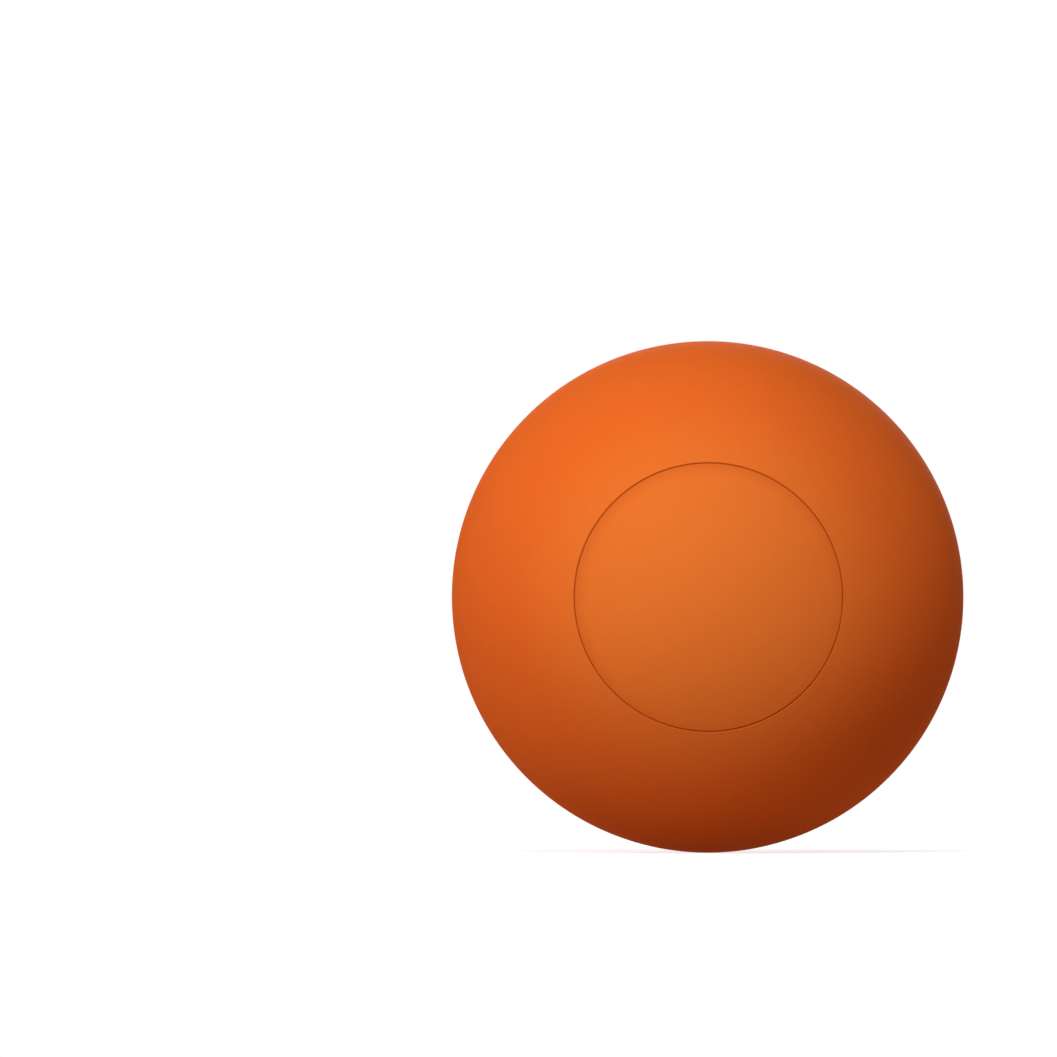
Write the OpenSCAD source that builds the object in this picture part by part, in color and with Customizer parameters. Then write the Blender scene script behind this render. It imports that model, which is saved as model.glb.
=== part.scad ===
/* [Ball] */
// Diameter of the sphere that the cover is moulded to
ball_d = 63.5; // [62.7:0.1:64.7]
// Thickness of the coloured cover, measured along the radius
cover_t = 5; // [3:0.5:8]
/* [Ring lines and discs] */
// Diameter of the wide ring line, on the face towards -Y
wide_ring_d = 33.2; // [26:0.2:40]
// Diameter of the narrow ring line, on the face towards +Y
narrow_ring_d = 23; // [14:0.2:30]
// Width of a ring line at the surface
ring_line_w = 0.28; // [0.16:0.02:0.6]
// Depth of a ring line below the surface
ring_line_depth = 0.14; // [0.04:0.02:0.2]
// Depth of the disc inside a ring line, below the sphere
disc_depth = 0.1; // [0.04:0.02:0.3]
// Width of the shoulder over which the disc sinks, from the ring line inwards
shoulder_w = 1.9; // [0.8:0.1:4]
/* [Parting line] */
// Width of the belt that is ground flat along the parting line
belt_w = 2; // [1:0.2:4]
// Width of the fine seam in the middle of the belt
seam_w = 0.16; // [0.08:0.02:0.4]
// Depth of the fine seam below the belt
seam_depth = 0.06; // [0.02:0.02:0.2]
/* [Hidden] */
$fn = 128;
// How far a cut runs past the surface
overrun = 4;

cover_colour = [0.85, 0.41, 0.14];
core_colour = [0.23, 0.21, 0.19];

ball_r = ball_d / 2;
core_r = ball_r - cover_t;
// Grinding a flat belt of this width into the sphere leaves a short cylinder of this radius.
belt_r = sqrt(ball_r * ball_r - belt_w * belt_w / 4);

// Radius of the round tool whose arc is that wide and that deep where it meets the surface
function groove_tool_r(width, depth) = (width * width / 4 + depth * depth) / (2 * depth);

// Round-bottomed ring groove in the half plane that turns about the pole, at a given ring diameter
module ring_groove_section(ring_d) {
    tool_r = groove_tool_r(ring_line_w, ring_line_depth);
    lift = ball_r + tool_r - ring_line_depth;
    tilt = asin(ring_d / 2 / ball_r);
    translate([lift * sin(tilt), lift * cos(tilt)])
        circle(r = tool_r);
}

// Point of the half plane at a distance from the ball's centre and an angle from the pole
function polar_point(radius, angle) = [radius * sin(angle), radius * cos(angle)];

// What the sunken disc and its sloping shoulder take away inside a ring line of a given diameter
module sunk_disc_section(ring_d) {
    disc_r = ball_r - disc_depth;
    ring_angle = asin(ring_d / 2 / ball_r);
    disc_angle = ring_angle - asin(shoulder_w / ball_r);
    difference() {
        polygon([
            [0, 0],
            polar_point(disc_r, disc_angle),
            polar_point(ball_r, ring_angle),
            polar_point(ball_r + overrun, ring_angle),
            polar_point(ball_r + overrun, 0),
        ]);
        circle(r = disc_r);
    }
}

// Half of the seam's V, cut into the rim where the two halves of the cover meet
module seam_chamfer_section() {
    polygon([
        [belt_r - seam_depth, 0],
        [belt_r + seam_depth, 0],
        [belt_r + seam_depth, seam_w],
    ]);
}

// Half shell of the cover with its pole towards +Z and its flat rim at Z = 0
module cover_half(ring_d) {
    rotate_extrude()
        difference() {
            intersection() {
                circle(r = ball_r);
                square([belt_r, ball_r]);
            }
            circle(r = core_r);
            sunk_disc_section(ring_d);
            ring_groove_section(ring_d);
            seam_chamfer_section();
        }
}

// Solid ball of plain rubber that the cover is moulded on
module core() {
    color(core_colour)
        sphere(r = core_r);
}

// Half of the cover towards -Y, with the wide ring line and disc
module wide_ring_cover() {
    color(cover_colour)
        rotate([90, 0, 0])
            cover_half(wide_ring_d);
}

// Half of the cover towards +Y, with the narrow ring line and disc
module narrow_ring_cover() {
    color(cover_colour)
        rotate([-90, 0, 0])
            cover_half(narrow_ring_d);
}

core();
wide_ring_cover();
narrow_ring_cover();
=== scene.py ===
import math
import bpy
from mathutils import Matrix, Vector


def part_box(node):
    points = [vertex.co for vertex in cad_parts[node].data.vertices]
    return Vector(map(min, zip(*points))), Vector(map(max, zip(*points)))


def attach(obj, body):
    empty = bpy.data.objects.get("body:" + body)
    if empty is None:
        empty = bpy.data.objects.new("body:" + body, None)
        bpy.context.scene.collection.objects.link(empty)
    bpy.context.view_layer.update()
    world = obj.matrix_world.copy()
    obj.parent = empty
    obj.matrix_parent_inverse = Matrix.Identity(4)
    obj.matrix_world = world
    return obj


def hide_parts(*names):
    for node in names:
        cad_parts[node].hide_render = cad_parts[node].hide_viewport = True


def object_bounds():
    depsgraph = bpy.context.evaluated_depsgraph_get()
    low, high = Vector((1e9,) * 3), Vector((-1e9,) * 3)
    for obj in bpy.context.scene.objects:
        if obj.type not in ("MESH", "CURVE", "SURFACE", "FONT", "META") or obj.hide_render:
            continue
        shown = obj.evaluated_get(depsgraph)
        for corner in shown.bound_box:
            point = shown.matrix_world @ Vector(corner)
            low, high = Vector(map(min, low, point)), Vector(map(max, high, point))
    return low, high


bl_info = {
    "name": "Lacrosse Ball",
    "version": (1, 0, 0),
    "blender": (4, 5, 0),
    "location": "View3D > Sidebar > Lacrosse Ball",
    "description": "Moulded rubber ball with a recessed disc at each pole and a ground parting line",
    "category": "Object",
}

import bmesh
import bpy
from bpy.props import FloatProperty, FloatVectorProperty, IntProperty, PointerProperty
from bpy.types import NodeSocket, Operator, Panel, PropertyGroup
from mathutils import Vector, noise

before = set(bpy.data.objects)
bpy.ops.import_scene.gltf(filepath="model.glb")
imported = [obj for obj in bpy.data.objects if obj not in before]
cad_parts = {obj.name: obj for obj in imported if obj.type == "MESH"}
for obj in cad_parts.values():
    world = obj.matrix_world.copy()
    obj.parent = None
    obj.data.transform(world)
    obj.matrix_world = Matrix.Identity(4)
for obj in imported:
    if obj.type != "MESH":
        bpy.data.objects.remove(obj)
cad_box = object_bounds()

MM = 0.001
FULL_TURN = 2 * math.pi

# Width of the ground belt, and the radii that the frame's solids give
BELT_W = 2 * MM
BELT_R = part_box("wide_ring_cover")[1].z
BALL_R = math.hypot(BELT_R, BELT_W / 2)
CORE_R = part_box("core")[1].z
# Gap that keeps the inside of the cover from touching the core
CORE_CLEARANCE = 0.02 * MM

# The photograph's own frame, in its pixels
PHOTO_SIDE_PX = 1057
BALL_CENTRE_PX = (707.6, 596.9)
BALL_R_PX = 255.9

# Mesh steps between pole and belt: the finest, at a ring line, goes this many times into its width, and
# they grow by these factors, away from the ring line and from the belt, up to the longest
FINEST_IN_LINE = 24
STEP_GROWTH = 1.12
BELT_STEP_GROWTH = 1.3
LONGEST_STEP = 0.9 * MM
# Where a ring's points would stand more than this many times closer than along the parting line, every
# second one is left out, down to the fewest
CROWDING = 3
FEWEST_SEGMENTS = 16

# The stain in a ring line reaches this many times as far as the line's own width
STAIN_SPREAD = 1.25
# How quickly the painted shade inside a ring line fades over the shoulder, where 1 is evenly
PAINTED_SHADE_FALLOFF = 1.3
# What a noise texture's values lie round
NOISE_MIDDLE = 0.5
# Shares of the floor's radius between which it fades out
FLOOR_FADE_SHARES = (0.35, 0.98)
WHITE = (1.0, 1.0, 1.0)


class BallSizes(PropertyGroup):
    """Sizes of the ball's cover"""

    ball_d: FloatProperty(
        name="Ball diameter",
        description="Diameter of the sphere that the cover is moulded to",
        default=2 * BALL_R,
        unit="LENGTH",
    )
    cover_t: FloatProperty(
        name="Cover thickness",
        description="Thickness of the coloured cover over the core",
        default=BALL_R - CORE_R,
        unit="LENGTH",
    )
    wide_ring_d: FloatProperty(
        name="Wide ring line",
        description="Diameter of the ring line on the face towards -Y",
        default=33.2 * MM,
        unit="LENGTH",
    )
    narrow_ring_d: FloatProperty(
        name="Narrow ring line",
        description="Diameter of the ring line on the face towards +Y",
        default=23 * MM,
        unit="LENGTH",
    )
    ring_line_w: FloatProperty(
        name="Ring line width",
        description="Width of a ring line at the surface",
        default=0.28 * MM,
        unit="LENGTH",
    )
    ring_line_depth: FloatProperty(
        name="Ring line depth",
        description="Depth of a ring line below the sphere",
        default=0.14 * MM,
        unit="LENGTH",
    )
    disc_depth: FloatProperty(
        name="Disc depth",
        description="Depth of the disc inside a ring line below the sphere",
        default=0.1 * MM,
        unit="LENGTH",
    )
    shoulder_w: FloatProperty(
        name="Shoulder width",
        description="Width over which the disc sinks, from the ring line inwards",
        default=1.9 * MM,
        unit="LENGTH",
    )
    belt_w: FloatProperty(
        name="Belt width",
        description="Width of the belt that is ground flat along the parting line",
        default=BELT_W,
        unit="LENGTH",
    )
    seam_w: FloatProperty(
        name="Seam width",
        description="Width of the fine seam in the middle of the belt",
        default=0.16 * MM,
        unit="LENGTH",
    )
    seam_depth: FloatProperty(
        name="Seam depth",
        description="Depth of the fine seam below the belt",
        default=0.06 * MM,
        unit="LENGTH",
    )
    wave_depth: FloatProperty(
        name="Wave depth",
        description="How far the rubber's shrinkage moves the surface in and out",
        default=0.008 * MM,
        unit="LENGTH",
    )
    wave_length: FloatProperty(
        name="Wave length",
        description="Distance over which the rubber's shrinkage varies",
        default=11 * MM,
        unit="LENGTH",
    )
    segments: IntProperty(
        name="Segments",
        description="Mesh segments round the parting line, a power of two",
        default=512,
        min=64,
        max=1024,
    )


class RubberLook(PropertyGroup):
    """Colours and finish of the rubber"""

    cover_colour: FloatVectorProperty(
        name="Cover colour",
        description="Colour of the moulded cover",
        subtype="COLOR",
        size=3,
        default=(0.7, 0.1227, 0.0163),
    )
    # Painted highlight and shade: the cover turns from the redder cover colour at the parting line to
    # this yellower colour at its poles, so each face is yellower at its middle and redder towards its
    # edge
    pole_highlight_colour: FloatVectorProperty(
        name="Faded colour",
        description="Slightly yellower colour that the cover fades to at its two poles",
        subtype="COLOR",
        size=3,
        default=(0.694, 0.16, 0.0242),
    )
    highlight_start_share: FloatProperty(
        name="Fade start",
        description="Share of the way from the parting line to a pole at which the cover starts to fade",
        default=0.6,
        min=0,
        max=1,
    )
    # Colour of the dust in the lines, also used for the painted shade on the shoulder just inside each
    # ring line
    line_dust_and_shade_colour: FloatVectorProperty(
        name="Line colour",
        description="Colour of the dust and mould residue that sits in the fine lines",
        subtype="COLOR",
        size=3,
        default=(0.4, 0.063, 0.0082),
    )
    ground_colour: FloatVectorProperty(
        name="Ground colour",
        description="Colour of the rubber where the parting line is ground off",
        subtype="COLOR",
        size=3,
        default=(0.7, 0.168, 0.036),
    )
    # Painted shade: how far the shoulder inside a ring line is darkened towards the line colour
    painted_shoulder_shade: FloatProperty(
        name="Shoulder shade",
        description="How strongly the line colour shades the shoulder just inside a ring line",
        default=0.28,
        min=0,
        max=1,
    )
    roughness: FloatProperty(
        name="Roughness",
        description="Roughness of the moulded cover",
        default=0.75,
        min=0,
        max=1,
    )
    ground_roughness: FloatProperty(
        name="Ground roughness",
        description="Roughness of the cover where the parting line is ground off",
        default=0.9,
        min=0,
        max=1,
    )
    specular_level: FloatProperty(
        name="Specular level",
        description="How much the matt cover shines, where 0.5 is the shine of plain plastic",
        default=0.008,
        min=0,
        max=1,
    )
    scratch_depth: FloatProperty(
        name="Scratch depth",
        description="Depth of the fine lines that grinding leaves round the belt",
        default=0.012 * MM,
        unit="LENGTH",
    )
    core_colour: FloatVectorProperty(
        name="Core colour",
        description="Colour of the plain rubber under the cover",
        subtype="COLOR",
        size=3,
        default=(0.044, 0.037, 0.031),
    )
    core_roughness: FloatProperty(
        name="Core roughness",
        description="Roughness of the plain rubber under the cover",
        default=0.8,
        min=0,
        max=1,
    )


class StudioLook(PropertyGroup):
    """Lamps, floor and camera"""

    camera_distance: FloatProperty(
        name="Camera distance",
        description="Distance from the camera to the middle of the ball",
        default=5.2,
        unit="LENGTH",
    )
    floor_colour: FloatVectorProperty(
        name="Floor colour",
        description="Share of the light that the floor returns to the camera",
        subtype="COLOR",
        size=3,
        default=(0.49, 0.5, 0.5),
    )
    bounce_colour: FloatVectorProperty(
        name="Bounce colour",
        description="Share of the light that the floor returns to the ball, a little warm",
        subtype="COLOR",
        size=3,
        default=(0.22, 0.16, 0.133),
    )
    glow_colour: FloatVectorProperty(
        name="Glow colour",
        description="Light that the floor gives off towards the ball, as a light table does",
        subtype="COLOR",
        size=3,
        default=(0.21, 0.153, 0.127),
    )
    floor_lift: FloatProperty(
        name="Floor lift",
        description="Light that the floor gives off where it is seen, so that it blends into white",
        default=0.72,
        min=0,
        max=1,
    )
    floor_r: FloatProperty(
        name="Floor radius",
        description="Radius of the pale floor, whose rim fades out",
        default=0.5,
        unit="LENGTH",
    )
    lamp_distance: FloatProperty(
        name="Lamp distance",
        description="Distance from each softbox to the middle of the ball",
        default=0.8,
        unit="LENGTH",
    )
    lamp_size: FloatProperty(
        name="Softbox size",
        description="Diameter of each softbox",
        default=0.4,
        unit="LENGTH",
    )
    key_power: FloatProperty(
        name="Key power",
        description="Softbox in front, above the camera and a little to the left",
        default=3.0,
        unit="POWER",
    )
    top_power: FloatProperty(
        name="Top power",
        description="Softbox high in front",
        default=2.8,
        unit="POWER",
    )
    left_power: FloatProperty(
        name="Left power",
        description="Softbox at the front on the left",
        default=1.1,
        unit="POWER",
    )
    side_power: FloatProperty(
        name="Side power",
        description="Softbox high on the left",
        default=1.3,
        unit="POWER",
    )
    rim_power: FloatProperty(
        name="Rim power",
        description="Softbox behind on the left",
        default=1.65,
        unit="POWER",
    )
    rim_colour: FloatVectorProperty(
        name="Rim colour",
        description="Colour of the two softboxes that light the ball's edges from behind",
        subtype="COLOR",
        size=3,
        default=(1.0, 0.65, 0.45),
    )
    right_power: FloatProperty(
        name="Right power",
        description="Softbox behind on the right",
        default=0.65,
        unit="POWER",
    )
    back_power: FloatProperty(
        name="Back power",
        description="Softbox behind, for the views from there",
        default=3.0,
        unit="POWER",
    )
    fill_colour: FloatVectorProperty(
        name="Fill colour",
        description="Colour of the dim even light from all round",
        subtype="COLOR",
        size=3,
        default=(1.0, 0.85, 0.78),
    )
    fill_strength: FloatProperty(
        name="Fill strength",
        description="Dim even light from all round",
        default=0.07,
        min=0,
        max=1,
    )


def opaque(colour):
    """Red, green and blue with full alpha"""
    return (*colour, 1.0)


def add_node(tree, kind, place, settings=(), inputs=()):
    """New shader node with its settings, and its inputs linked to a socket or set to a value"""
    node = tree.nodes.new(kind)
    node.location = place
    for name, value in dict(settings).items():
        setattr(node, name, value)
    for name, value in dict(inputs).items():
        if isinstance(value, NodeSocket):
            tree.links.new(value, node.inputs[name])
        else:
            node.inputs[name].default_value = value
    return node


def calculate(tree, place, operation, *values):
    """Socket with what a Math node makes of sockets and plain numbers"""
    node = add_node(tree, "ShaderNodeMath", place, {"operation": operation}, enumerate(values))
    return node.outputs["Value"]


def mix_colour(tree, place, base, colour, factor):
    """Socket that goes from the base to the other colour as the factor rises from 0 to 1"""
    inputs = {"A": base, "B": colour, "Factor": factor}
    return add_node(tree, "ShaderNodeMix", place, {"data_type": "RGBA"}, inputs).outputs["Result"]


def smooth_step(tree, place, value, start, end, before=0.0, after=1.0):
    """Socket that eases from before to after while the value goes from start to end"""
    settings = {"interpolation_type": "SMOOTHSTEP"}
    inputs = {"Value": value, "From Min": start, "From Max": end, "To Min": before, "To Max": after}
    return add_node(tree, "ShaderNodeMapRange", place, settings, inputs).outputs["Result"]


def surface_point(tree, place):
    """Socket with the place of a surface point in the ball's own frame"""
    return add_node(tree, "ShaderNodeTexCoord", place).outputs["Object"]


def parting_distance(tree, place, point):
    """Socket with a point's distance from the plane of the parting line"""
    axes = add_node(tree, "ShaderNodeSeparateXYZ", place, inputs={"Vector": point})
    return calculate(tree, (place[0] + 180, place[1]), "ABSOLUTE", axes.outputs["Y"])


def noise_socket(tree, place, point, scale, detail, roughness):
    """Socket with a noise texture's value at a point"""
    inputs = {"Vector": point, "Scale": scale, "Detail": detail, "Roughness": roughness}
    return add_node(tree, "ShaderNodeTexNoise", place, inputs=inputs).outputs["Fac"]


def new_group(name, inputs, outputs):
    """New shader node group with those sockets, and the sockets that carry its inputs into it"""
    group = bpy.data.node_groups.new(name, "ShaderNodeTree")
    for socket, kind, value in inputs:
        made = group.interface.new_socket(name=socket, in_out="INPUT", socket_type=kind)
        made.default_value = value
    for socket, kind in outputs:
        group.interface.new_socket(name=socket, in_out="OUTPUT", socket_type=kind)
    return group, add_node(group, "NodeGroupInput", (-900, 0)).outputs


def rubber_mottle_group():
    """Colour with the faint cloudiness and the fine specks of mixed rubber"""
    group, given = new_group(
        "Rubber mottle",
        [
            ("Colour", "NodeSocketColor", opaque((0.8, 0.2, 0.05))),
            ("Cloud Scale", "NodeSocketFloat", 150.0),
            ("Cloud Depth", "NodeSocketFloat", 0.04),
            ("Speck Scale", "NodeSocketFloat", 2500.0),
            ("Speck Depth", "NodeSocketFloat", 0.05),
        ],
        [("Colour", "NodeSocketColor")],
    )
    point = surface_point(group, (-900, -300))
    swings = []
    for name, height, detail, roughness in (("Cloud", 0, 3.0, 0.55), ("Speck", -300, 2.0, 0.7)):
        texture = noise_socket(group, (-650, height), point, given[f"{name} Scale"], detail, roughness)
        centred = calculate(group, (-400, height), "SUBTRACT", texture, NOISE_MIDDLE)
        swings.append(calculate(group, (-200, height), "MULTIPLY", centred, given[f"{name} Depth"]))
    swing = calculate(group, (0, -150), "ADD", *swings)
    value = calculate(group, (180, -150), "ADD", swing, 1.0)
    inputs = {"Color": given["Colour"], "Value": value}
    shade = add_node(group, "ShaderNodeHueSaturation", (400, 0), inputs=inputs)
    add_node(group, "NodeGroupOutput", (700, 0), inputs={"Colour": shade.outputs["Color"]})
    return group


def moulded_grain_group():
    """Height, in metres, of the fine matt grain that a blasted mould leaves in rubber"""
    group, given = new_group(
        "Moulded grain",
        [
            ("Grain Scale", "NodeSocketFloat", 4000.0),
            ("Grain Depth", "NodeSocketFloat", 0.004 * MM),
            ("Pit Scale", "NodeSocketFloat", 1200.0),
            ("Pit Depth", "NodeSocketFloat", 0.006 * MM),
        ],
        [("Height", "NodeSocketFloat")],
    )
    point = surface_point(group, (-900, -300))
    grain = noise_socket(group, (-650, 100), point, given["Grain Scale"], detail=2.0, roughness=0.6)
    pits = add_node(
        group,
        "ShaderNodeTexVoronoi",
        (-650, -200),
        {"feature": "F1"},
        {"Vector": point, "Scale": given["Pit Scale"]},
    )
    middle_away = pits.outputs["Distance"]
    pit = smooth_step(group, (-420, -200), middle_away, start=0.02, end=0.16, before=1.0, after=0.0)
    raised = calculate(group, (-150, 100), "MULTIPLY", grain, given["Grain Depth"])
    sunk = calculate(group, (-150, -150), "MULTIPLY", pit, given["Pit Depth"])
    height = calculate(group, (150, 0), "SUBTRACT", raised, sunk)
    add_node(group, "NodeGroupOutput", (700, 0), inputs={"Height": height})
    return group


def grinding_group():
    """Mask of the ground belt on the parting line, and the fine lines that grinding leaves round it"""
    group, given = new_group(
        "Grinding",
        [
            ("Belt Width", "NodeSocketFloat", BELT_W),
            ("Ragged", "NodeSocketFloat", 0.9 * MM),
            ("Edge Softness", "NodeSocketFloat", 0.2 * MM),
        ],
        [("Ground", "NodeSocketFloat"), ("Lines", "NodeSocketFloat")],
    )
    point = surface_point(group, (-900, 200))
    away = parting_distance(group, (-700, 300), point)
    edge_noise = noise_socket(group, (-700, 80), point, scale=260.0, detail=3.0, roughness=0.6)
    swing = calculate(group, (-520, 80), "SUBTRACT", edge_noise, NOISE_MIDDLE)
    ragged = calculate(group, (-340, 80), "MULTIPLY", swing, given["Ragged"])
    moved = calculate(group, (-160, 250), "ADD", away, ragged)
    half_width = calculate(group, (-520, -120), "DIVIDE", given["Belt Width"], 2.0)
    inner = calculate(group, (-340, -120), "SUBTRACT", half_width, given["Edge Softness"])
    ground = smooth_step(group, (60, 200), moved, inner, half_width, before=1.0, after=0.0)
    stretched = add_node(
        group,
        "ShaderNodeMapping",
        (-700, -300),
        {"vector_type": "POINT"},
        {"Vector": point, "Scale": (50.0, 2600.0, 50.0)},
    ).outputs["Vector"]
    lines = noise_socket(group, (-500, -300), stretched, scale=1.0, detail=3.0, roughness=0.6)
    inputs = {"Value": lines, "From Min": 0.36, "From Max": 0.64}
    sharper = add_node(group, "ShaderNodeMapRange", (-300, -300), inputs=inputs).outputs["Result"]
    add_node(group, "NodeGroupOutput", (700, 0), inputs={"Ground": ground, "Lines": sharper})
    return group


def group_node(tree, name, place, inputs):
    """Output sockets of the shared group of that name, placed with its own values"""
    group = bpy.data.node_groups.get(name) or GROUPS[name]()
    return add_node(tree, "ShaderNodeGroup", place, {"node_tree": group}, inputs).outputs


def mesh_mask(tree, name, place):
    """Socket with a mask that the mesh code wrote on the points"""
    return add_node(tree, "ShaderNodeAttribute", place, {"attribute_name": name}).outputs["Fac"]


def new_material(name):
    """Material with an empty node tree"""
    material = bpy.data.materials.new(name)
    material.use_nodes = True
    material.node_tree.nodes.clear()
    return material, material.node_tree


def finish_rubber(tree, height, inputs):
    """Ends a rubber's node tree in its shader, with relief of that height in metres"""
    bump = add_node(
        tree, "ShaderNodeBump", (200, -300), inputs={"Strength": 1.0, "Distance": 1.0, "Height": height}
    )
    shader = add_node(
        tree, "ShaderNodeBsdfPrincipled", (600, 0), inputs={**inputs, "Normal": bump.outputs["Normal"]}
    )
    add_node(tree, "ShaderNodeOutputMaterial", (900, 0), inputs={"Surface": shader.outputs["BSDF"]})


def cover_colour(tree, look, sizes, worn):
    """Cover's colour, paler where it is ground and darker in its lines, with a painted highlight that
    makes it yellower at its poles, painted shade that makes it redder towards its parting line, and
    painted shade just inside its ring lines
    """
    body = group_node(
        tree,
        "Rubber mottle",
        (-1000, 300),
        {
            "Colour": opaque(look.cover_colour),
            "Cloud Scale": 140.0,
            "Cloud Depth": 0.03,
            "Speck Scale": 2600.0,
            "Speck Depth": 0.04,
        },
    )
    ball_r = sizes.ball_d / 2
    away = parting_distance(tree, (-1300, 800), surface_point(tree, (-1500, 800)))
    # Painted highlight and shade: yellower towards each pole, redder towards the parting line
    fade = smooth_step(tree, (-900, 800), away, look.highlight_start_share * ball_r, ball_r)
    highlighted = mix_colour(tree, (-750, 300), body["Colour"], opaque(look.pole_highlight_colour), fade)
    ground = mix_colour(tree, (-500, 300), highlighted, opaque(look.ground_colour), worn)
    # Painted shade on the shoulder just inside each ring line
    shade = calculate(
        tree, (-500, 550), "MULTIPLY", mesh_mask(tree, "shade", (-750, 550)), look.painted_shoulder_shade
    )
    shaded = mix_colour(tree, (-250, 300), ground, opaque(look.line_dust_and_shade_colour), shade)
    stain = mesh_mask(tree, "stain", (-250, 550))
    return mix_colour(tree, (0, 300), shaded, opaque(look.line_dust_and_shade_colour), stain)


def cover_rubber(look, sizes):
    """Matt coloured rubber with a moulded grain, ground along its parting line"""
    material, tree = new_material("moulded_cover_rubber")
    grinding = group_node(tree, "Grinding", (-1000, -50), {"Belt Width": sizes.belt_w})
    worn = calculate(tree, (-750, -50), "MULTIPLY", grinding["Ground"], grinding["Lines"])
    roughness = add_node(
        tree,
        "ShaderNodeMapRange",
        (0, 50),
        inputs={"Value": grinding["Ground"], "To Min": look.roughness, "To Max": look.ground_roughness},
    )
    grain = group_node(
        tree,
        "Moulded grain",
        (-1000, -400),
        {"Grain Scale": 8000.0, "Grain Depth": 0.025 * MM, "Pit Scale": 700.0, "Pit Depth": 0.02 * MM},
    )
    scratches = calculate(tree, (-500, -200), "MULTIPLY", worn, look.scratch_depth)
    height = calculate(tree, (-250, -300), "ADD", scratches, grain["Height"])
    finish_rubber(
        tree,
        height,
        {
            "Base Color": cover_colour(tree, look, sizes, worn),
            "Roughness": roughness.outputs["Result"],
            "Specular IOR Level": look.specular_level,
        },
    )
    return material


def core_rubber(look):
    """Plain dark rubber of the core"""
    material, tree = new_material("plain_core_rubber")
    body = group_node(
        tree,
        "Rubber mottle",
        (-700, 300),
        {
            "Colour": opaque(look.core_colour),
            "Cloud Scale": 200.0,
            "Cloud Depth": 0.3,
            "Speck Scale": 1500.0,
            "Speck Depth": 0.5,
        },
    )
    grain = group_node(
        tree,
        "Moulded grain",
        (-700, -300),
        {"Grain Scale": 1500.0, "Grain Depth": 0.02 * MM, "Pit Scale": 500.0, "Pit Depth": 0.03 * MM},
    )
    finish_rubber(
        tree, grain["Height"], {"Base Color": body["Colour"], "Roughness": look.core_roughness}
    )
    return material


def graded_marks(length, first, growth):
    """Distances from 0 to length whose steps start fine and grow to the longest"""
    marks = [0.0]
    step = first
    while marks[-1] + step < length:
        marks.append(marks[-1] + step)
        step = min(step * growth, LONGEST_STEP)
    marks[-1] = length
    return marks


def bump_share(share):
    """Smooth hump that is 1 at share 0 and 0 at shares of 1 and more on both sides"""
    if abs(share) >= 1:
        return 0.0
    return (1 + math.cos(math.pi * share)) / 2


def sunk_share(share):
    """Share of the disc's depth, from 0 at the ring line to 1 where its shoulder ends"""
    held = min(1.0, max(0.0, share))
    return held * (2 - held)


def painted_shade_share(share):
    """Share of the painted shade on the shoulder, from 1 at the ring line to 0 where the shoulder ends
    """
    if not 0 <= share < 1:
        return 0.0
    return (1 - share) ** PAINTED_SHADE_FALLOFF


def dome_marks(sizes, ring_d):
    """Points from the pole to the belt: distance from the axis, height, stain, painted shade"""
    ball_r = sizes.ball_d / 2
    half_line = sizes.ring_line_w / 2
    ring_arc = ball_r * math.asin(ring_d / 2 / ball_r)
    belt_arc = ball_r * math.acos(sizes.belt_w / 2 / ball_r)
    first = sizes.ring_line_w / FINEST_IN_LINE
    between = (belt_arc - ring_arc) / 2
    inwards = [ring_arc - mark for mark in graded_marks(ring_arc, first, STEP_GROWTH)]
    outwards = [ring_arc + mark for mark in graded_marks(between, first, STEP_GROWTH)]
    to_belt = [belt_arc - mark for mark in graded_marks(between, 2 * first, BELT_STEP_GROWTH)]
    points = []
    for arc in sorted(set(inwards + outwards + to_belt[:-1])):
        inside = ring_arc - arc
        sunk = sizes.disc_depth * sunk_share(inside / sizes.shoulder_w)
        line = sizes.ring_line_depth * bump_share(inside / half_line)
        radius = ball_r - sunk - line
        stain = bump_share(inside / half_line / STAIN_SPREAD)
        # Painted shade, strongest at the ring line and gone where the shoulder ends
        shade = painted_shade_share(inside / sizes.shoulder_w)
        angle = arc / ball_r
        points.append((radius * math.sin(angle), radius * math.cos(angle), stain, shade))
    return points


def belt_marks(sizes, belt_r):
    """Points from the edge of the belt, down into its half of the seam, stained there"""
    belt_steps = 6
    seam_steps = 4
    half_belt = sizes.belt_w / 2
    half_seam = sizes.seam_w / 2
    points = []
    for step in range(1, belt_steps + 1):
        height = half_belt + (half_seam - half_belt) * step / belt_steps
        points.append((belt_r, height, 0.0, 0.0))
    for step in range(1, seam_steps + 1):
        share = step / seam_steps
        points.append((belt_r - sizes.seam_depth * share, half_seam * (1 - share), share, 0.0))
    return points


def inside_r(sizes):
    """Radius of the cover's inside, just clear of the core"""
    return sizes.ball_d / 2 - sizes.cover_t + CORE_CLEARANCE


def inside_marks(sizes):
    """Points of the inside from the rim back to the pole"""
    steps = 20
    inner_r = inside_r(sizes)
    angles = [math.pi / 2 * (1 - step / steps) for step in range(steps)]
    return [(inner_r * math.sin(angle), inner_r * math.cos(angle), 0.0, 0.0) for angle in angles]


def ring_count(segments, radius, ball_r):
    """Segments at that distance from the pole axis, halved as often as the points there stand crowded"""
    count = segments
    while count > FEWEST_SEGMENTS and count * ball_r > CROWDING * segments * radius:
        count //= 2
    return count


def add_loop(bm, layers, point, toward, count):
    """Ring of points round the pole axis"""
    radius, height, stain, shade = point
    loop = []
    for index in range(count):
        angle = FULL_TURN * index / count
        vert = bm.verts.new((radius * math.cos(angle), toward * height, radius * math.sin(angle)))
        vert[layers["stain"]] = stain
        vert[layers["shade"]] = shade
        loop.append(vert)
    return loop


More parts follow.
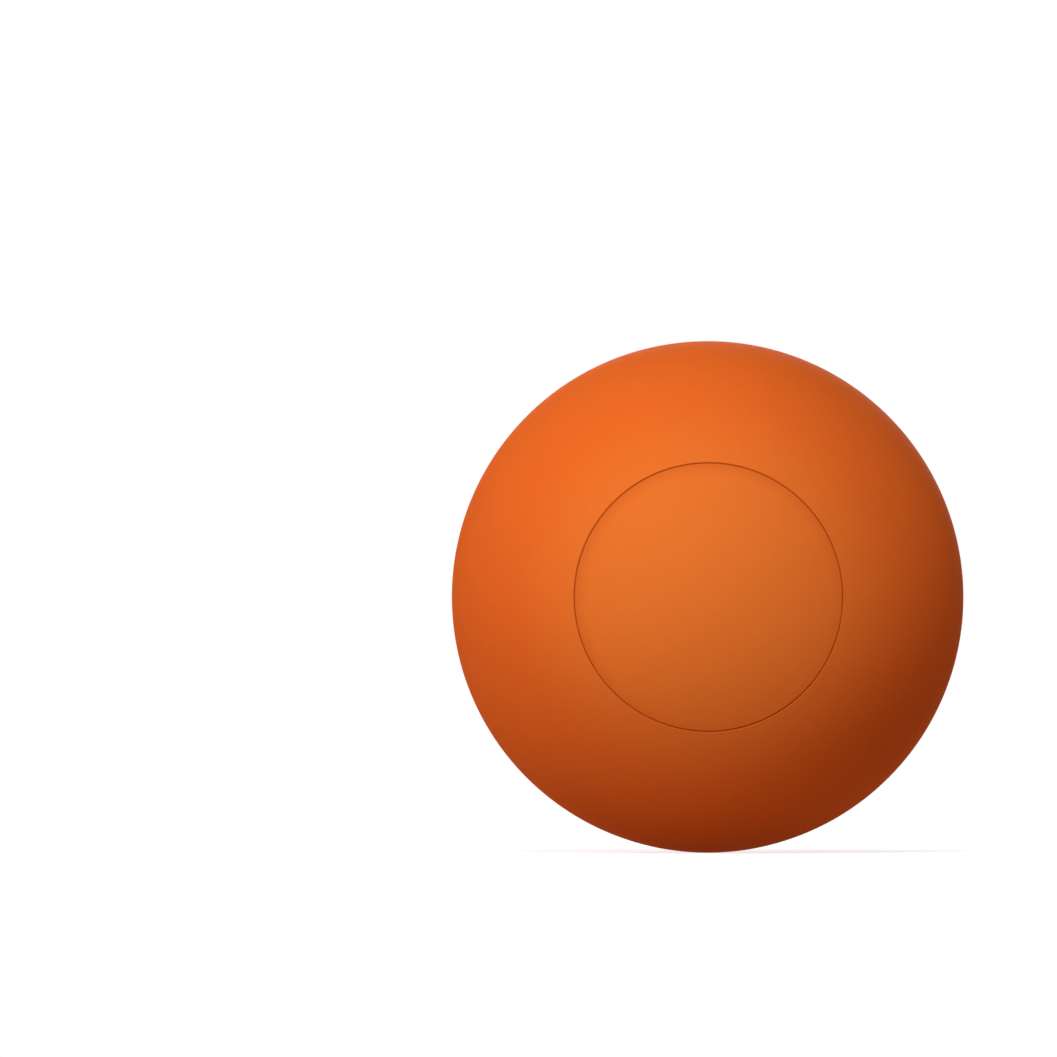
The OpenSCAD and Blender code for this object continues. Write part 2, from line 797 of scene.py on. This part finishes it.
def bridge(bm, before, after):
    """Faces between two rings of which one has as many points as the other, or twice as many"""
    if len(before) < len(after):
        more, fewer = after, before
    else:
        more, fewer = before, after
    count = len(fewer)
    for index in range(count):
        following = (index + 1) % count
        if len(more) == count:
            bm.faces.new((more[index], more[following], fewer[following], fewer[index]))
            continue
        left, middle, right = (more[(2 * index + step) % len(more)] for step in range(3))
        bm.faces.new((left, middle, fewer[index]))
        bm.faces.new((middle, fewer[following], fewer[index]))
        bm.faces.new((middle, right, fewer[following]))


def close_pole(bm, loop, height, toward):
    """Fan of faces from a ring to the pole"""
    pole = bm.verts.new((0.0, toward * height, 0.0))
    for index, vert in enumerate(loop):
        bm.faces.new((vert, loop[(index + 1) % len(loop)], pole))


def wave(bm, sizes):
    """Moves the outside in and out a little, as rubber shrinks unevenly in the mould"""
    least = sizes.ball_d / 2 - sizes.cover_t / 2
    for vert in bm.verts:
        if vert.co.length > least:
            push = sizes.wave_depth * noise.noise(vert.co / sizes.wave_length)
            vert.co += vert.co.normalized() * push


def build_cover(name, sizes, ring_d, toward):
    """Closed half shell of the cover with its pole towards -Y or +Y"""
    bm = bmesh.new()
    # The shade layer holds the painted shade just inside the ring lines
    layers = {mask: bm.verts.layers.float.new(mask) for mask in ("stain", "shade")}
    dome = dome_marks(sizes, ring_d)
    belt_r = dome[-1][0]
    loops = []
    for point in dome[1:] + belt_marks(sizes, belt_r) + inside_marks(sizes):
        count = ring_count(sizes.segments, point[0], sizes.ball_d / 2)
        loops.append(add_loop(bm, layers, point, toward, count))
    for before, after in zip(loops, loops[1:]):
        bridge(bm, before, after)
    close_pole(bm, loops[0], dome[0][1], toward)
    close_pole(bm, loops[-1], inside_r(sizes), toward)
    wave(bm, sizes)
    bmesh.ops.recalc_face_normals(bm, faces=bm.faces)
    for face in bm.faces:
        face.smooth = True
    mesh = bpy.data.meshes.new(name)
    bm.to_mesh(mesh)
    bm.free()
    cover = bpy.data.objects.new(name, mesh)
    bpy.context.scene.collection.objects.link(cover)
    return cover


def aim(thing, target):
    """Turns a lamp or camera so that it looks at the target"""
    thing.rotation_euler = (target - thing.location).to_track_quat("-Z", "Y").to_euler()


def add_softbox(name, direction, power, colour, studio):
    """Round softbox that hangs in that direction from the ball and looks at it"""
    lamp = bpy.data.lights.new(name, "AREA")
    lamp.shape = "DISK"
    lamp.size = studio.lamp_size
    lamp.energy = power
    lamp.color = colour
    holder = bpy.data.objects.new(name, lamp)
    holder.location = Vector(direction).normalized() * studio.lamp_distance
    holder.visible_camera = False
    aim(holder, Vector())
    bpy.context.scene.collection.objects.link(holder)


def add_camera(sizes, studio):
    """Level camera with a long lens that frames the ball where the photograph has it"""
    metres_per_px = sizes.ball_d / 2 / BALL_R_PX
    lens = bpy.data.cameras.new("camera")
    lens.lens = lens.sensor_width * studio.camera_distance / (PHOTO_SIDE_PX * metres_per_px)
    camera = bpy.data.objects.new("camera", lens)
    across = (PHOTO_SIDE_PX / 2 - BALL_CENTRE_PX[0]) * metres_per_px
    above = (BALL_CENTRE_PX[1] - PHOTO_SIDE_PX / 2) * metres_per_px
    camera.location = (across, -studio.camera_distance, above)
    aim(camera, Vector((across, 0.0, above)))
    bpy.context.scene.collection.objects.link(camera)
    bpy.context.scene.camera = camera


def background_ray(tree):
    """Socket that is 1 where the camera, a reflection or glass sees the background, and 0 elsewhere"""
    path = add_node(tree, "ShaderNodeLightPath", (-1200, 0)).outputs
    seen = calculate(tree, (-1000, 0), "MAXIMUM", path["Is Camera Ray"], path["Is Glossy Ray"])
    return calculate(tree, (-800, 0), "MAXIMUM", seen, path["Is Transmission Ray"])


def white_world(studio):
    """World that is white where the camera or a reflection sees it, and a dim fill elsewhere"""
    world = bpy.data.worlds.new("white_backdrop")
    bpy.context.scene.world = world
    world.use_nodes = True
    tree = world.node_tree
    tree.nodes.clear()
    white = add_node(
        tree, "ShaderNodeBackground", (100, -100), inputs={"Color": opaque(WHITE), "Strength": 1.0}
    )
    fill = add_node(
        tree,
        "ShaderNodeBackground",
        (100, 100),
        inputs={"Color": opaque(studio.fill_colour), "Strength": studio.fill_strength},
    )
    both = add_node(
        tree,
        "ShaderNodeMixShader",
        (350, 0),
        inputs={0: background_ray(tree), 1: fill.outputs["Background"], 2: white.outputs["Background"]},
    )
    add_node(tree, "ShaderNodeOutputWorld", (600, 0), inputs={"Surface": both.outputs["Shader"]})


def floor_material(studio):
    """Pale floor that keeps the ball's shadow and fades out into the white behind it"""
    material, tree = new_material("pale_floor")
    seen = background_ray(tree)
    bounce = opaque(studio.bounce_colour)
    returned = mix_colour(tree, (-400, 250), bounce, opaque(studio.floor_colour), seen)
    matt = add_node(tree, "ShaderNodeBsdfDiffuse", (-200, 200), inputs={"Color": returned})
    lift = opaque((studio.floor_lift,) * 3)
    given_off = mix_colour(tree, (-400, 0), opaque(studio.glow_colour), lift, seen)
    glow = add_node(
        tree, "ShaderNodeEmission", (-200, 0), inputs={"Color": given_off, "Strength": 1.0}
    )
    lit = add_node(
        tree,
        "ShaderNodeAddShader",
        (100, 150),
        inputs={0: matt.outputs["BSDF"], 1: glow.outputs["Emission"]},
    )
    point = surface_point(tree, (-800, -300))
    away = add_node(tree, "ShaderNodeVectorMath", (-600, -300), {"operation": "LENGTH"}, {0: point})
    fade_from, fade_to = (share * studio.floor_r for share in FLOOR_FADE_SHARES)
    fade = smooth_step(tree, (-400, -300), away.outputs["Value"], fade_from, fade_to)
    clear = add_node(tree, "ShaderNodeBsdfTransparent", (100, -200))
    shown = add_node(
        tree,
        "ShaderNodeMixShader",
        (500, 0),
        inputs={0: fade, 1: lit.outputs["Shader"], 2: clear.outputs["BSDF"]},
    )
    add_node(tree, "ShaderNodeOutputMaterial", (900, 0), inputs={"Surface": shown.outputs["Shader"]})
    return material


def add_floor(studio):
    """Round pale floor that touches the ball's lowest point"""
    bm = bmesh.new()
    bmesh.ops.create_circle(bm, cap_ends=True, segments=96, radius=studio.floor_r)
    mesh = bpy.data.meshes.new("floor")
    bm.to_mesh(mesh)
    bm.free()
    mesh.materials.append(floor_material(studio))
    floor = bpy.data.objects.new("floor", mesh)
    floor.location.z = cad_box[0].z
    bpy.context.scene.collection.objects.link(floor)


class BALL_OT_dress_core(Operator):
    """Give the core its plain dark rubber"""

    bl_idname = "lacrosse_ball.dress_core"
    bl_label = "Dress core"

    def execute(self, context):
        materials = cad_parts["core"].data.materials
        materials.clear()
        materials.append(core_rubber(context.scene.rubber_look))
        return {"FINISHED"}


class BALL_OT_mould_covers(Operator):
    """Mould the two halves of the cover, each with its own ring line"""

    bl_idname = "lacrosse_ball.mould_covers"
    bl_label = "Mould covers"

    def execute(self, context):
        sizes = context.scene.ball_sizes
        material = cover_rubber(context.scene.rubber_look, sizes)
        for node, name, ring_d, toward in (
            ("wide_ring_cover", "moulded_wide_ring_cover", sizes.wide_ring_d, -1),
            ("narrow_ring_cover", "moulded_narrow_ring_cover", sizes.narrow_ring_d, 1),
        ):
            cover = build_cover(name, sizes, ring_d, toward)
            cover.data.materials.append(material)
            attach(cover, "root")
            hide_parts(node)
        return {"FINISHED"}


class BALL_OT_set_stage(Operator):
    """Set up the pale floor, the lamps and the camera"""

    bl_idname = "lacrosse_ball.set_stage"
    bl_label = "Set stage"

    def execute(self, context):
        studio = context.scene.studio_look
        context.scene.view_settings.view_transform = "Standard"
        white_world(studio)
        add_floor(studio)
        warm = studio.rim_colour
        for name, direction, power, colour in (
            ("key_softbox", (-0.25, -0.87, 0.43), studio.key_power, WHITE),
            ("top_softbox", (0.1, -0.57, 0.78), studio.top_power, WHITE),
            ("left_softbox", (-0.7, -0.62, 0.3), studio.left_power, WHITE),
            ("side_softbox", (-0.85, -0.17, 0.49), studio.side_power, WHITE),
            ("rim_softbox", (-0.77, 0.64, 0), studio.rim_power, warm),
            ("right_softbox", (0.7, 0.7, 0.15), studio.right_power, warm),
            ("back_softbox", (0.05, 0.97, 0.2), studio.back_power, WHITE),
        ):
            add_softbox(name, direction, power, colour, studio)
        add_camera(context.scene.ball_sizes, studio)
        return {"FINISHED"}


class BALL_PT_sidebar(Panel):
    """Lists the ball's sizes, its colours and the steps that build it"""

    bl_idname = "BALL_PT_sidebar"
    bl_label = "Lacrosse Ball"
    bl_space_type = "VIEW_3D"
    bl_region_type = "UI"
    bl_category = "Lacrosse Ball"

    def draw(self, context):
        scene = context.scene
        for settings in (scene.ball_sizes, scene.rubber_look, scene.studio_look):
            column = self.layout.column()
            for name in settings.bl_rna.properties.keys():
                if name not in {"rna_type", "name"}:
                    column.prop(settings, name)
        for step in STEPS:
            self.layout.operator(step.bl_idname)


SETTINGS = {"ball_sizes": BallSizes, "rubber_look": RubberLook, "studio_look": StudioLook}
STEPS = (BALL_OT_dress_core, BALL_OT_mould_covers, BALL_OT_set_stage)
GROUPS = {
    "Rubber mottle": rubber_mottle_group,
    "Moulded grain": moulded_grain_group,
    "Grinding": grinding_group,
}


def register():
    for made in (*SETTINGS.values(), *STEPS, BALL_PT_sidebar):
        bpy.utils.register_class(made)
    for name, group in SETTINGS.items():
        setattr(bpy.types.Scene, name, PointerProperty(type=group))


def unregister():
    for name in SETTINGS:
        delattr(bpy.types.Scene, name)
    for made in reversed((*SETTINGS.values(), *STEPS, BALL_PT_sidebar)):
        bpy.utils.unregister_class(made)


def main():
    register()
    bpy.ops.lacrosse_ball.dress_core()
    bpy.ops.lacrosse_ball.mould_covers()
    bpy.ops.lacrosse_ball.set_stage()


if __name__ == "__main__":
    main()
